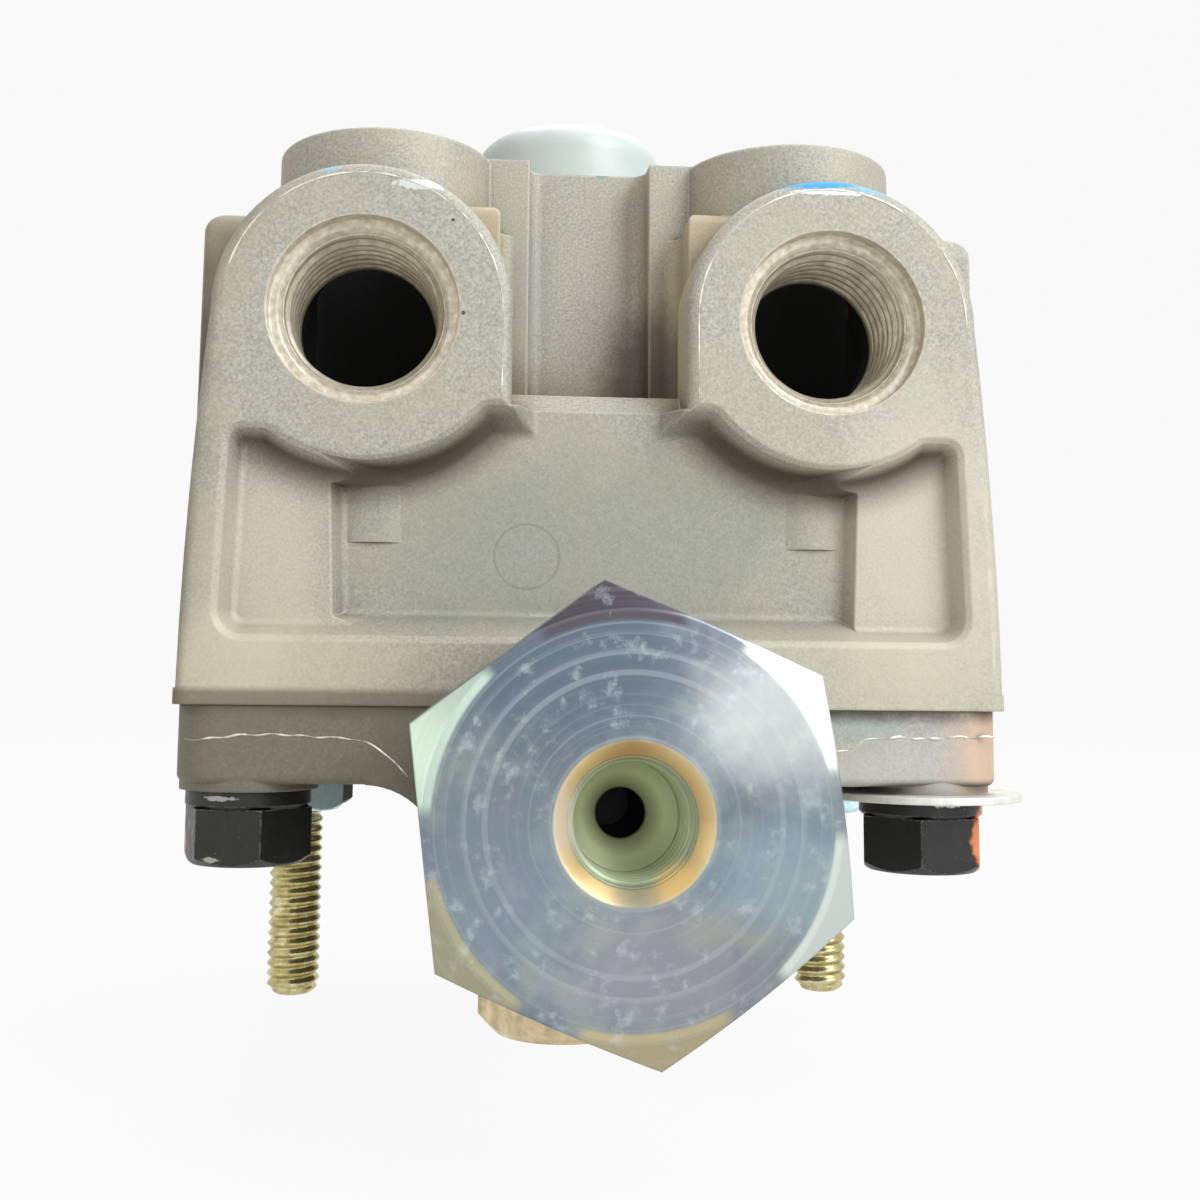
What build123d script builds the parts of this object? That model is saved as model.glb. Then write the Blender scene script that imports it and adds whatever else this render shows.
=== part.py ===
"""Air brake relay valve, as it stands exhaust end up.

A die-cast body carries two front and two top delivery ports and a rear supply
port. A relay piston works in its lower bore, over a cast cover held on by four
screws. The piston lifts a hollow inlet and exhaust valve off its seat against
a spring. Spent air leaves through the valve's bore, past a rubber diaphragm,
under a moulded cap on top. A large hex fitting on the cover takes the control
line, and a floating check disc behind it shares the cover with a plugged
second port. All sizes are millimetres. The origin is on the piston axis, in
the cover's underside, midway between the two mounting studs. +Z is up, and the
control fitting points along -Y.
"""

from build123d import *
import math
import os

# Body outline
joint_z = 9.5             # plane where body and cover meet
flange_half = 52.0        # square flange, half its side
lip_height = 2.0          # sharp lip at the foot of the body
lip_step = 0.4            # how far the lip stands out
block_top_z = 74.0        # shoulders of the main block
block_draft = 0.3         # how much the main block narrows to its shoulders
block_setback = 8.5       # from the front face to the main block's own front
front_bulge = 0.5         # how far the front slab's sides bow outwards
web_top_z = 75.8          # webs between the top bosses and the valley
web_width = 12.0
top_z = 84.9              # machined top plane of the body
corner_r = 2.2            # vertical corners of the lip
rear_corner_r = 5.0       # vertical rear corners
shoulder_r = 3.5          # rounded shoulders of the main block
web_edge_r = 1.5

# Delivery ports, half inch taper pipe thread
port_inset = 22.0         # from the flange's sides to the front ports
port_z = 59.0
port_boss_r = 19.0
boss_edge_r = 1.5         # rounded front edge of the bosses
top_port_inset = 23.8     # from the flange's sides to the top ports
top_port_setback = 20.3   # from the front face to the top ports
top_boss_r = 14.8
top_boss_foot_r = 15.3    # the bosses widen to their foot
thread_r = 10.3           # bore that carries the thread, at its root
chamber_r = 9.3           # port chambers behind the threads
counterbore_r = 12.0
counterbore_depth = 1.8
mouth_chamfer = 0.6
front_thread_length = 14.5
top_thread_length = 12.0
port_floor_z = 30.0       # bottom of the vertical port chambers

# Supply port at the rear, three quarter inch taper pipe thread
supply_z = 58.0
supply_tap_r = 12.3
supply_boss_r = 19.5
supply_boss_out = 4.0
supply_thread_length = 17.0
supply_passage_r = 6.5
supply_passage_z = 55.0

# Front pocket and valley
pocket_bottom_z = 17.8
pocket_top_z = 43.8
pocket_margin_low = 4.9   # from the flange's sides to the pocket's mouth
pocket_margin_high = 5.8
pocket_depth = 3.0
pocket_taper = 30.0       # degrees the pocket's walls lean from square
panel_margin_low = 20.4   # from the flange's sides to the deeper panel's floor
panel_margin_high = 18.8
panel_depth = 5.4
pocket_boss_gap = 0.1     # between the bosses' circle and the pocket's mouth
pocket_corner_r = 3.2
pocket_finger_r = 2.0     # rounded ends of the pocket beside the bosses
pocket_floor_r = 1.1
pocket_bevel = 0.5        # round the pocket's mouth
pocket_bevel_lean = 60.0
valley_z = 50.0           # floor of the valley
valley_edge = 2.6         # bevel at the valley's front edge
valley_trim = 0.2         # how far the valley cuts into the bosses' circle
valley_step = 1.5         # widening of the valley behind the front slab
valley_wall_setback = 16.0
valley_deep_setback = 21.0
valley_shelf = 2.8        # steps left each side of the valley's deep wall
valley_r = 2.2

# Piston bore and inner chambers
bore_r = 33.0
delivery_r = 28.0
delivery_top_z = 41.0
passage_r = 5.2           # between delivery chamber and the port chambers
inlet_web_z = 46.0        # top of the web that carries the inlet seat
inlet_r = 12.0
seat_width = 1.2
seat_height = 0.8
supply_r = 18.5
retainer_bore_r = 22.0
retainer_floor_z = 63.0
tower_wall = 6.0          # round the retainer's bore
slide_gap = 0.06          # radial running fit
seal_gap = 0.02           # under a seal ring in its groove

# Relay piston
piston_lift = 3.0
piston_crown_z = 22.0
piston_floor_z = 4.5      # chamber floor in the cover, which the piston rests on
piston_skirt_r = 30.5
piston_wall = 3.0
piston_tube_r = 8.6
piston_tube_bore_r = 6.6
piston_gap = 1.0          # from the piston's exhaust seat to the valve face
piston_rib_count = 6
piston_rib_width = 2.4
piston_rib_height = 6.0
ring_wire = 3.2           # piston seal ring section
ring_squeeze = 0.9        # share of the section left in its groove
ring_z = 15.5

# Inlet and exhaust valve
valve_disc_r = 15.0
valve_disc_thick = 1.8
valve_face_thick = 2.0
stem_r = 8.0
stem_bore_r = 5.4
stem_top_z = 76.5
spring_r = 11.6           # mean radius of the return spring
spring_wire = 1.5
spring_turns = 4.5
spring_seat_thick = 1.0
spring_seat_r = 14.0

# Valve retainer, exhaust cover and diaphragm
retainer_top_z = 80.0
retainer_seal_wire = 2.4
stem_seal_wire = 2.0
exhaust_seat_r = 9.6
exhaust_seat_top_z = 89.0
exhaust_bore_r = 8.2
cap_r = 15.2
cap_wall = 1.6
cap_top_z = 100.4
cap_edge_r = 4.6
cap_flange_thick = 1.6
cap_window_count = 6
cap_window_width = 7.0
cap_window_z = 82.6
cap_window_height = 4.4
diaphragm_r = 11.6
diaphragm_thick = 1.4
post_r = 2.4
snap_ring_thick = 1.3
snap_ring_depth = 1.3
snap_ring_width = 3.0
snap_ear_r = 2.4
snap_ear_x = 5.6
snap_hole_r = 0.9
snap_gap = 9.0

# Cover
cover_step = 0.3          # how much the cover stays inside the flange
cover_corner_r = 5.5
nose_r = 19.4             # forward boss that takes the control fitting
nose_z = -1.2
nose_reach = 17.0         # from the body's front face to the nose's end
nose_gap = 0.5            # between the nose and the body's front face
nose_blend_r = 9.0        # fillet under the flange beside the nose
hub_r = 13.6              # vertical boss on the axis
hub_bottom_z = -29.0
hub_edge_r = 1.5
seal_groove_r = 35.6      # face seal between body and cover
seal_wire = 2.4
pad_height = 1.0          # pads that the screws clamp on
pad_r = 8.6

# Fasteners
screw_inset_x = 8.7       # from the flange's sides to the screws
screw_inset_y = 9.0
screw_r = 4.76
screw_hole_r = 5.2
screw_head_af = 14.29
screw_head_height = 6.9
screw_turn = 12.0         # degrees each front head is turned outwards
screw_reach = 17.0        # thread in the body
washer_r = 7.8
washer_thick = 2.2
tag_r = 12.7
tag_thick = 0.9
stud_x = 41.275
stud_r = 3.97             # free end of the studs
stud_root_r = 4.1         # fixed end, in the cover and its nut
stud_end_z = -35.3
stud_grip = 7.0           # length held in the cover
stud_tip = 1.2            # chamfer on the free end
nut_af = 12.7
nut_height = 7.4
nut_turn = 15.0
thread_gap = 0.02         # between a stud and what it is screwed into

# Control fitting, check disc and plug
fitting_af = 42.4
fitting_length = 16.0     # of the hexagon
fitting_turn = 37.0       # degrees, which leaves one corner nearly on top
fitting_thread_r = 16.0
fitting_reach = 9.0
fitting_face_r = 21.1     # chamfer circle on the front face
control_mouth_r = 8.1
control_mouth_depth = 1.5
control_tap_r = 6.6
control_tap_depth = 8.6
control_cone_depth = 3.4
control_hole_r = 2.6
fitting_seal_wire = 2.0
check_chamber_r = 12.0
check_r = 9.4
check_lug_width = 3.0
check_thick = 1.6
check_travel = 1.2
check_seat_proud = 0.6
check_seat_r = 5.2
cross_hole_r = 3.2
riser_x = 8.6
riser_r = 2.2
riser_y = -22.0
plug_af = 22.2
plug_bottom_z = -41.0
plug_head = 11.0
plug_turn = 5.0
plug_thread_r = 8.4
plug_reach = 11.0
hub_bore_r = 5.6

# Places worked out from the sizes above
sides = (-1, 1)
front_y = -flange_half
block_low_z = joint_z + lip_height
block_half = flange_half - lip_step
block_front_y = front_y + block_setback
port_x = flange_half - port_inset
top_port_x = flange_half - top_port_inset
top_port_y = front_y + top_port_setback
valley_half = port_x - port_boss_r + valley_trim
valley_back_half = valley_half + valley_step
valley_wall_y = front_y + valley_wall_setback
valley_deep_y = front_y + valley_deep_setback
supply_mouth_y = flange_half + supply_boss_out
cover_half = flange_half - cover_step
screw_x = flange_half - screw_inset_x
screw_y = flange_half - screw_inset_y
screw_places = [(sx * screw_x, sy * screw_y) for sx in sides for sy in sides]
nose_front_y = front_y - nose_reach
bore_top_z = piston_crown_z + piston_lift      # shoulder that stops the piston
snap_ring_low = retainer_top_z + cap_flange_thick
snap_ring_high = snap_ring_low + snap_ring_thick
seal_middle_z = (retainer_floor_z + retainer_top_z) / 2
valve_face_z = inlet_web_z + seat_height
valve_disc_z = valve_face_z + valve_face_thick
spring_low = valve_disc_z + valve_disc_thick
spring_high = retainer_floor_z - spring_seat_thick
chamber_front_y = nose_front_y + fitting_reach
chamber_back_y = chamber_front_y + check_thick + check_travel + check_seat_proud
groove_share = 0.78       # a face groove's depth, as a share of its ring's section
seal_floor_z = joint_z - groove_share * seal_wire


def upright(radius, low, high, x=0.0, y=0.0):
    """A cylinder along Z from one height to another."""
    return Pos(x, y, (low + high) / 2) * Cylinder(radius, high - low)


def lengthwise(radius, start_y, end_y, x=0.0, z=0.0):
    """A cylinder along Y between two places."""
    return Pos(x, (start_y + end_y) / 2, z) * Rot(90, 0, 0) * Cylinder(radius, end_y - start_y)


def ring(outer, inner, low, high, x=0.0, y=0.0):
    """A flat ring or a tube along Z."""
    return upright(outer, low, high, x, y) - upright(inner, low - 1, high + 1, x, y)


def turned(points):
    """A solid of revolution about Z from radius and height pairs."""
    return revolve(make_face(Plane.XZ * Polyline(*points, close=True)), Axis.Z)


def o_ring(mean_r, wire, z, x=0.0, y=0.0):
    """A seal ring of round section, lying flat."""
    return Pos(x, y, z) * Torus(mean_r, wire / 2)


def hex_prism(across_flats, low, high, turn=0.0):
    """A hexagon along Z, given across its flats."""
    return Pos(0, 0, low) * Rot(0, 0, turn) * extrude(
        RegularPolygon(across_flats / 2, 6, major_radius=False), high - low)


def side_profile(half_low, half_high, low, high):
    """The face of a block that narrows upwards, seen from the front."""
    corners = [(-half_low, low), (half_low, low), (half_high, high), (-half_high, high)]
    return Polygon(*corners, align=None)


def front_slab(sketch, start_y, end_y):
    """A sketch in X and Z carried along Y."""
    return extrude(Plane.XZ.offset(-end_y) * sketch, end_y - start_y)


def main_block():
    """The casting behind the front slab, with its shoulders and top plane."""
    low = block_low_z
    profile = side_profile(block_half, block_half - block_draft, low, block_top_z)
    block = front_slab(profile, block_front_y, block_half)
    rear_edges = block.edges().filter_by(Axis.Z, 5).group_by(Axis.Y)[-1]
    block = fillet(rear_edges, rear_corner_r)
    block = fillet(block.faces().sort_by(Axis.Z)[-1].edges(), shoulder_r)
    plateau_length = -top_port_y - valley_wall_y
    plateau = Pos(0, valley_wall_y + plateau_length / 2, (low + top_z) / 2) * Box(
        2 * top_port_x, plateau_length, top_z - low)
    plateau = fillet(plateau.edges().filter_by(Axis.Z).group_by(Axis.Y)[-1], rear_corner_r)
    block += plateau + upright(retainer_bore_r + tower_wall, low, top_z)
    for side in sides:
        web = Pos(side * (valley_back_half + web_width / 2), (block_front_y + top_port_y) / 2,
                  (low + web_top_z) / 2) * Box(web_width, top_port_y - block_front_y, web_top_z - low)
        block += fillet(web.edges().group_by(Axis.Z)[-1], web_edge_r)
    return block


def front_block():
    """The front slab, whose bowed sides run into two round port bosses."""
    boss_side = port_x + port_boss_r
    sill_z = valley_z - valley_edge
    waist = ((block_half + boss_side) / 2 + front_bulge, (block_low_z + port_z) / 2)
    right = ThreePointArc((block_half, block_low_z), waist, (boss_side, port_z))
    left = mirror(right, Plane.YZ)
    foot = Line((-block_half, block_low_z), (block_half, block_low_z))
    head = Line((-boss_side, port_z), (boss_side, port_z))
    outline = make_face([*foot.edges(), *right.edges(), *head.edges(), *left.edges()])
    for side in sides:
        outline += Pos(side * port_x, port_z) * Circle(port_boss_r)
    outline -= Pos(0, sill_z) * Rectangle(2 * valley_half, top_z, align=(Align.CENTER, Align.MIN))
    slab = front_slab(outline, front_y, block_front_y + 1)
    rim = [edge for edge in slab.faces().sort_by(Axis.Y)[0].edges() if edge.center().Z > block_low_z + 1]
    slab = fillet(rim, boss_edge_r)
    sill_depth = block_setback + 1 - panel_depth
    slab += Pos(0, block_front_y + 1 - sill_depth / 2, (block_low_z + valley_z) / 2) * Box(
        2 * valley_half + 1, sill_depth, valley_z - block_low_z)
    for side in sides:
        slab += lengthwise(port_boss_r, block_front_y, top_port_y, side * port_x, port_z)
    return slab


def top_bosses():
    """The two bosses of the top ports, a little wider at the foot."""
    bosses = []
    for side in sides:
        height = top_z - port_floor_z
        boss = Pos(side * top_port_x, top_port_y, port_floor_z + height / 2) * Cone(
            top_boss_foot_r, top_boss_r, height)
        bosses.append(fillet(boss.edges().group_by(Axis.Z)[-1], boss_edge_r / 2))
    return bosses


def pocket_outline():
    """The pocket's mouth, which follows the bosses between two rounded fingers."""
    low_half = flange_half - pocket_margin_low
    high_half = flange_half - pocket_margin_high
    sill_z = valley_z - valley_edge
    outline = side_profile(low_half, high_half, pocket_bottom_z, sill_z)
    lid = Pos(0, pocket_top_z) * Rectangle(4 * flange_half, flange_half, align=(Align.CENTER, Align.MIN))
    outline -= lid - Rectangle(2 * port_x, 4 * flange_half)
    for side in sides:
        outline -= Pos(side * port_x, port_z) * Circle(port_boss_r + pocket_boss_gap)
    outline = fillet(outline.vertices().group_by(Axis.Y)[0], pocket_corner_r)
    outline = fillet([corner for corner in outline.vertices() if corner.Y > pocket_top_z - 0.5],
                     pocket_finger_r)
    return outline


def sunk(outline, depth, taper):
    """A sketch sunk into the front face, with leaning walls."""
    return extrude(Plane.XZ.offset(-front_y) * outline, -depth, taper=taper)


def recess(outline, depth):
    """One level of the pocket, with a coved floor."""
    hollow = sunk(outline, depth, pocket_taper)
    return fillet(hollow.faces().sort_by(Axis.Y)[-1].edges(), pocket_floor_r)


def pocket_cut():
    """The recess in the front face: bevelled mouth, side floors and a deeper panel."""
    mouth = pocket_outline()
    outline = mouth + Pos(0, valley_z) * Rectangle(2 * valley_half, 4 * valley_edge)
    lean = panel_depth * math.tan(math.radians(pocket_taper))
    panel = side_profile(flange_half - panel_margin_low + lean, flange_half - panel_margin_high + lean,
                         pocket_bottom_z, valley_z + 3 * valley_edge)
    cut = recess(outline, pocket_depth) + recess(panel & outline, panel_depth)
    return cut + sunk(offset(mouth, pocket_bevel), pocket_bevel, pocket_bevel_lean)


def valley_cut():
    """The gap between the front bosses, stepped twice at its back."""
    height = top_z - valley_z + 2
    middle_z = valley_z + height / 2
    steps = ((valley_half, front_y - 1, block_front_y + 0.5),
             (valley_back_half, block_front_y, valley_wall_y),
             (valley_half - valley_shelf, block_front_y, valley_deep_y))
    cut = []
    for half, start_y, end_y in steps:
        slot = Pos(0, (start_y + end_y) / 2, middle_z) * Box(2 * half, end_y - start_y, height)
        if end_y > block_front_y + 1:
            slot = fillet(slot.edges().filter_by(Axis.Z).group_by(Axis.Y)[-1], valley_r)
        cut.append(slot)
    panel_y = front_y + panel_depth
    bevel = Polygon((front_y - 1, valley_z - valley_edge), (panel_y, valley_z - valley_edge),
                    (panel_y + valley_edge, valley_z), (panel_y + valley_edge, valley_z + 1),
                    (front_y - 1, valley_z + 1), align=None)
    cut.append(extrude(Plane.YZ * bevel, valley_half, both=True))
    return cut


def port_cut(thread_length, length):
    """One threaded port's bore, mouth at the origin and running down -Z."""
    floor = -counterbore_depth
    return turned([(0, 1), (counterbore_r, 1), (counterbore_r, floor), (thread_r + mouth_chamfer, floor),
                   (thread_r, floor - mouth_chamfer), (thread_r, -thread_length), (chamber_r, -thread_length),
                   (chamber_r, -length), (0, -length)])


def gallery():
    """The stepped bore on the axis, from the piston up to the retainer."""
    seat_r = inlet_r + seat_width
    groove_r = retainer_bore_r + snap_ring_depth
    mouth_r = retainer_bore_r + 0.8
    return turned([(0, joint_z - 1), (bore_r, joint_z - 1), (bore_r, bore_top_z), (delivery_r, bore_top_z),
                   (delivery_r, delivery_top_z - 4), (delivery_r - 4, delivery_top_z),
                   (inlet_r, delivery_top_z), (inlet_r, valve_face_z), (seat_r, valve_face_z),
                   (seat_r + 1, inlet_web_z),
                   (supply_r, inlet_web_z), (supply_r, retainer_floor_z), (retainer_bore_r, retainer_floor_z),
                   (retainer_bore_r, snap_ring_low), (groove_r, snap_ring_low), (groove_r, snap_ring_high),
                   (retainer_bore_r, snap_ring_high), (retainer_bore_r, top_z - 0.8), (mouth_r, top_z),
                   (mouth_r, top_z + 1), (0, top_z + 1)])


def valve_body():
    """The casting, machined for the ports, the piston and the valve."""
    lip = extrude(RectangleRounded(2 * flange_half, 2 * flange_half, corner_r), lip_height)
    body = Pos(0, 0, joint_z) * lip + main_block() + (front_block() - pocket_cut())
    for boss in top_bosses():
        body += boss
    supply_boss = lengthwise(supply_boss_r, 0, supply_mouth_y, 0, supply_z)
    body += fillet(supply_boss.edges().group_by(Axis.Y)[-1], boss_edge_r)
    for step in valley_cut():
        body -= step
    reach = math.hypot(top_port_x, top_port_y)
    for side in sides:
        front_port = port_cut(front_thread_length, top_port_y - front_y)
        body -= Pos(side * port_x, front_y, port_z) * Rot(90, 0, 0) * front_port
        top_port = port_cut(top_thread_length, top_z - port_floor_z)
        body -= Pos(side * top_port_x, top_port_y, top_z) * top_port
        turn = math.degrees(math.atan2(top_port_y, side * top_port_x))
        passage = Pos(reach / 2, 0, delivery_top_z - passage_r) * Rot(0, 90, 0) * Cylinder(passage_r, reach)
        body -= Rot(0, 0, turn) * passage
    body -= gallery()
    tap_end_y = supply_mouth_y - supply_thread_length
    body -= lengthwise(supply_tap_r, tap_end_y, supply_mouth_y + 1, 0, supply_z)
    body -= lengthwise(supply_passage_r, 0, tap_end_y + 1, 0, supply_passage_z)
    for x, y in screw_places:
        body -= upright(screw_r, joint_z - 1, joint_z + screw_reach + 3, x, y)
    return body


def nose_web(side):
    """The curved web that blends the nose into the flange's underside."""
    outer = nose_r + nose_blend_r
    inner = nose_r - 4
    end = (side * (nose_r - 0.3), nose_z - nose_blend_r * 0.75)
    arc = ThreePointArc((side * outer, 0), (side * (nose_r + nose_blend_r * 0.28), -nose_blend_r * 0.3), end)
    above = Polyline((side * inner, 1), (side * outer, 1), (side * outer, 0))
    closing = Polyline(end, (side * inner, (nose_z - nose_r) / 2), (side * inner, 1))
    web = make_face([*above.edges(), *arc.edges(), *closing.edges()])
    return front_slab(web, -cover_half, cover_half / 2 - 6)


def cover():
    """The cast cover: flange, nose for the fitting and hub on the axis."""
    flange = extrude(RectangleRounded(2 * cover_half, 2 * cover_half, cover_corner_r), joint_z)
    solid = fillet(flange.edges().group_by(Axis.Z)[0], 1.0)
    under = lengthwise(nose_r, front_y - nose_gap - 1, cover_half / 2, 0, nose_z)
    under &= Pos(0, 0, joint_z - flange_half) * Box(4 * flange_half, 4 * flange_half, 2 * flange_half)
    end = under.edges().group_by(Axis.Y)[-1]
    solid += fillet(end.filter_by(GeomType.CIRCLE), hub_edge_r * 3)
    solid += lengthwise(nose_r, nose_front_y, front_y - nose_gap, 0, nose_z)
    for side in sides:
        solid += nose_web(side)
    hub = upright(hub_r, hub_bottom_z, 1)
    solid += fillet(hub.edges().group_by(Axis.Z)[0], hub_edge_r)
    for x, y in screw_places:
        solid += upright(pad_r, -pad_height, 1, x, y)
    solid -= upright(bore_r, piston_floor_z, joint_z + 1)
    groove = seal_wire * 0.6
    solid -= ring(seal_groove_r + groove, seal_groove_r - groove, seal_floor_z, joint_z + 1)
    solid -= lengthwise(fitting_thread_r, nose_front_y - 1, chamber_front_y, 0, nose_z)
    solid -= lengthwise(check_chamber_r, chamber_front_y - 1, chamber_back_y, 0, nose_z)
    seat_y = chamber_back_y - check_seat_proud
    solid += lengthwise(check_seat_r, seat_y, chamber_back_y, 0, nose_z)
    solid -= lengthwise(cross_hole_r, seat_y - 1, 0, 0, nose_z - 3)
    solid -= upright(hub_bore_r, hub_bottom_z - 1, nose_z - 1)
    solid -= upright(plug_thread_r, hub_bottom_z - 1, hub_bottom_z + plug_reach + 0.5)
    solid -= lengthwise(riser_r, chamber_back_y - 1, riser_y, riser_x, nose_z)
    solid -= upright(riser_r, nose_z, piston_floor_z + 1, riser_x, riser_y)
    for x, y in screw_places:
        solid -= upright(screw_hole_r, -pad_height - 1, joint_z + 1, x, y)
    for side in sides:
        solid -= upright(stud_root_r + thread_gap, -1, stud_grip, side * stud_x, 0)
    return solid


def washer_top(x, y):
    """The height of a lock washer's upper face, lower where the tag is."""
    under_tag = x > 0 and y < 0
    return -pad_height - (tag_thick if under_tag else 0)


def cover_screw(x, y):
    """A hex screw pointing up, its head turned outwards and chamfered."""
    under = washer_top(x, y) - washer_thick
    low = under - screw_head_height
    turn = math.copysign(screw_turn, x)
    half = screw_head_af / 2
    head = hex_prism(screw_head_af, low, under, turn)
    head &= turned([(0, low), (half * 0.96, low), (half * 1.3, low + 1.9), (half * 1.3, under + 1),
                    (0, under + 1)])
    shank = upright(screw_r, under - 1, joint_z + screw_reach)
    shank = chamfer(shank.edges().group_by(Axis.Z)[-1], 0.8)
    return Pos(x, y, 0) * (head + shank)


def lock_washer(x, y):
    """A thick ring under the head, split like a spring washer."""
    high = washer_top(x, y)
    washer = ring(washer_r, screw_r + 0.25, high - washer_thick, high)
    washer = chamfer(washer.edges().group_by(Axis.Z)[0].group_by(SortBy.RADIUS)[-1], 0.4)
    split = Pos(-washer_r + 1.5, 0, high - washer_thick / 2) * Rot(25, 0, 0) * Box(6, 0.6, 3 * washer_thick)
    turn = math.degrees(math.atan2(y, x))
    return Pos(x, y, 0) * (washer - Rot(0, 0, turn) * split)


def id_tag():
    """A round blank of thin sheet, held under one front screw."""
    return ring(tag_r, screw_r + 0.3, -pad_height - tag_thick, -pad_height, screw_x, -screw_y)


def mounting_stud(side):
    """A stud fixed in the cover, slightly stouter where its nut holds it."""
    stud = upright(stud_r, stud_end_z, 0)
    stud = chamfer(stud.edges().group_by(Axis.Z)[0], stud_tip)
    stud += upright(stud_root_r, -nut_height - 0.15, stud_grip)
    return Pos(side * stud_x, 0, 0) * stud


def stud_nut(side):
    """A hex nut run up to the cover, chamfered on its lower face."""
    half = nut_af / 2
    nut = hex_prism(nut_af, -nut_height, 0, nut_turn * side)
    nut &= turned([(0, -nut_height), (half * 0.97, -nut_height), (half * 1.3, 1.6 - nut_height),
                   (half * 1.3, 1), (0, 1)])
    nut -= upright(stud_root_r + thread_gap, -nut_height - 1, 1)
    return Pos(side * stud_x, 0, 0) * nut


def control_fitting():
    """The large hex fitting, modelled along Z and laid along Y."""
    front = fitting_length
    corner = fitting_af / 2 * 1.2
    body = hex_prism(fitting_af, 0, front, fitting_turn)
    body &= turned([(0, front), (fitting_face_r, front), (corner, front - 2.2), (corner, 1.4),
                    (fitting_face_r - 1, 0), (0, 0)])
    body += turned([(0, 1), (fitting_thread_r, 1), (fitting_thread_r, 0.8 - fitting_reach),
                    (fitting_thread_r - 0.8, -fitting_reach), (0, -fitting_reach)])
    body -= ring(fitting_thread_r + 2.5, fitting_thread_r, -1, fitting_seal_wire * groove_share)
    tap_end = front - control_tap_depth
    body -= turned([(0, front + 1), (control_mouth_r, front + 1), (control_mouth_r, front),
                    (control_tap_r, front - control_mouth_depth), (control_tap_r, tap_end),
                    (control_hole_r, tap_end - control_cone_depth), (control_hole_r, -fitting_reach - 1),
                    (0, -fitting_reach - 1)])
    return Pos(0, nose_front_y, nose_z) * Rot(90, 0, 0) * body


def fitting_seal():
    """The seal ring in the groove round the fitting's shank."""
    groove = fitting_seal_wire * groove_share
    seal = Pos(0, 0, groove / 2) * Torus(fitting_thread_r + 1.25, groove / 2)
    return Pos(0, nose_front_y, nose_z) * Rot(90, 0, 0) * seal


def check_disc():
    """The floating check disc, with four guide lugs."""
    disc = lengthwise(check_r, chamber_front_y, chamber_front_y + check_thick, 0, nose_z)
    for turn in range(0, 360, 90):
        lug = Pos(check_r + 0.9, 0, 0) * Box(2.4, check_thick, check_lug_width)
        disc += Pos(0, chamber_front_y + check_thick / 2, nose_z) * Rot(0, turn, 0) * lug
    return disc


def balance_plug():
    """The hex plug in the hub's second control port."""
    low = plug_bottom_z
    high = plug_bottom_z + plug_head
    half = plug_af / 2
    head = hex_prism(plug_af, low, high, plug_turn)
    head &= turned([(0, low), (half * 0.92, low), (half * 1.2, low + 3.2), (half * 1.2, high + 1),
                    (0, high + 1)])
    collar = upright(hub_r - 2.6, high - 1, hub_bottom_z)
    shank = upright(plug_thread_r, hub_bottom_z - 1, hub_bottom_z + plug_reach)
    return head + collar + chamfer(shank.edges().group_by(Axis.Z)[-1], 0.8)


def relay_piston():
    """The relay piston: ribbed cup, seal groove and exhaust seat tube."""
    outer = bore_r - slide_gap
    groove_r = outer - ring_wire * ring_squeeze - seal_gap
    groove_half = ring_wire * 0.6
    skin_r = groove_r - piston_wall
    tube_top = valve_face_z - piston_gap
    crown = piston_crown_z
    under = crown - piston_wall
    piston = turned([(0, under), (skin_r, under), (skin_r, piston_floor_z), (piston_skirt_r, piston_floor_z),
                     (piston_skirt_r, joint_z + 0.6), (outer, joint_z + 1.4), (outer, ring_z - groove_half),
                     (groove_r, ring_z - groove_half), (groove_r, ring_z + groove_half),
                     (outer, ring_z + groove_half), (outer, crown - 0.8), (outer - 0.8, crown),
                     (piston_tube_r + 2, crown), (piston_tube_r, crown + 2), (piston_tube_r, tube_top),
                     (piston_tube_bore_r, tube_top), (piston_tube_bore_r, tube_top - 6), (0, tube_top - 6)])
    rib_length = skin_r + 1
    for index in range(piston_rib_count):
        rib = Pos(rib_length / 2, 0, under + 1 - piston_rib_height / 2) * Box(
            rib_length, piston_rib_width, piston_rib_height)
        piston += Rot(0, 0, index * 360 / piston_rib_count) * rib
    return piston


def piston_ring():
    """The seal ring in the piston's groove."""
    depth = ring_wire * ring_squeeze
    return o_ring(bore_r - slide_gap - depth / 2, depth, ring_z)


def valve_guide():
    """The hollow inlet and exhaust valve: disc and stem tube."""
    return turned([(stem_bore_r, valve_disc_z), (valve_disc_r, valve_disc_z),
                   (valve_disc_r, valve_disc_z + valve_disc_thick), (stem_r, valve_disc_z + valve_disc_thick),
                   (stem_r, stem_top_z - 0.5), (stem_r - 0.5, stem_top_z), (stem_bore_r, stem_top_z)])


def valve_face():
    """The rubber face that closes the inlet seat and the exhaust seat."""
    return turned([(stem_bore_r, valve_face_z), (valve_disc_r - 0.4, valve_face_z),
                   (valve_disc_r, valve_face_z + 0.4), (valve_disc_r, valve_disc_z),
                   (stem_bore_r, valve_disc_z)])


def valve_spring():
    """The return spring, coiled between the valve disc and its seat."""
    low = spring_low + spring_wire / 2 + 0.05
    high = spring_high - spring_wire / 2 - 0.05
    path = Pos(0, 0, low) * Helix((high - low) / spring_turns, high - low, spring_r)
    section = Plane(origin=path @ 0, z_dir=path % 0) * Circle(spring_wire / 2)
    return sweep(section, path)


def spring_seat():
    """The washer between the spring and the retainer."""
    return ring(spring_seat_r, stem_r + 0.6, spring_high, retainer_floor_z)


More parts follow.
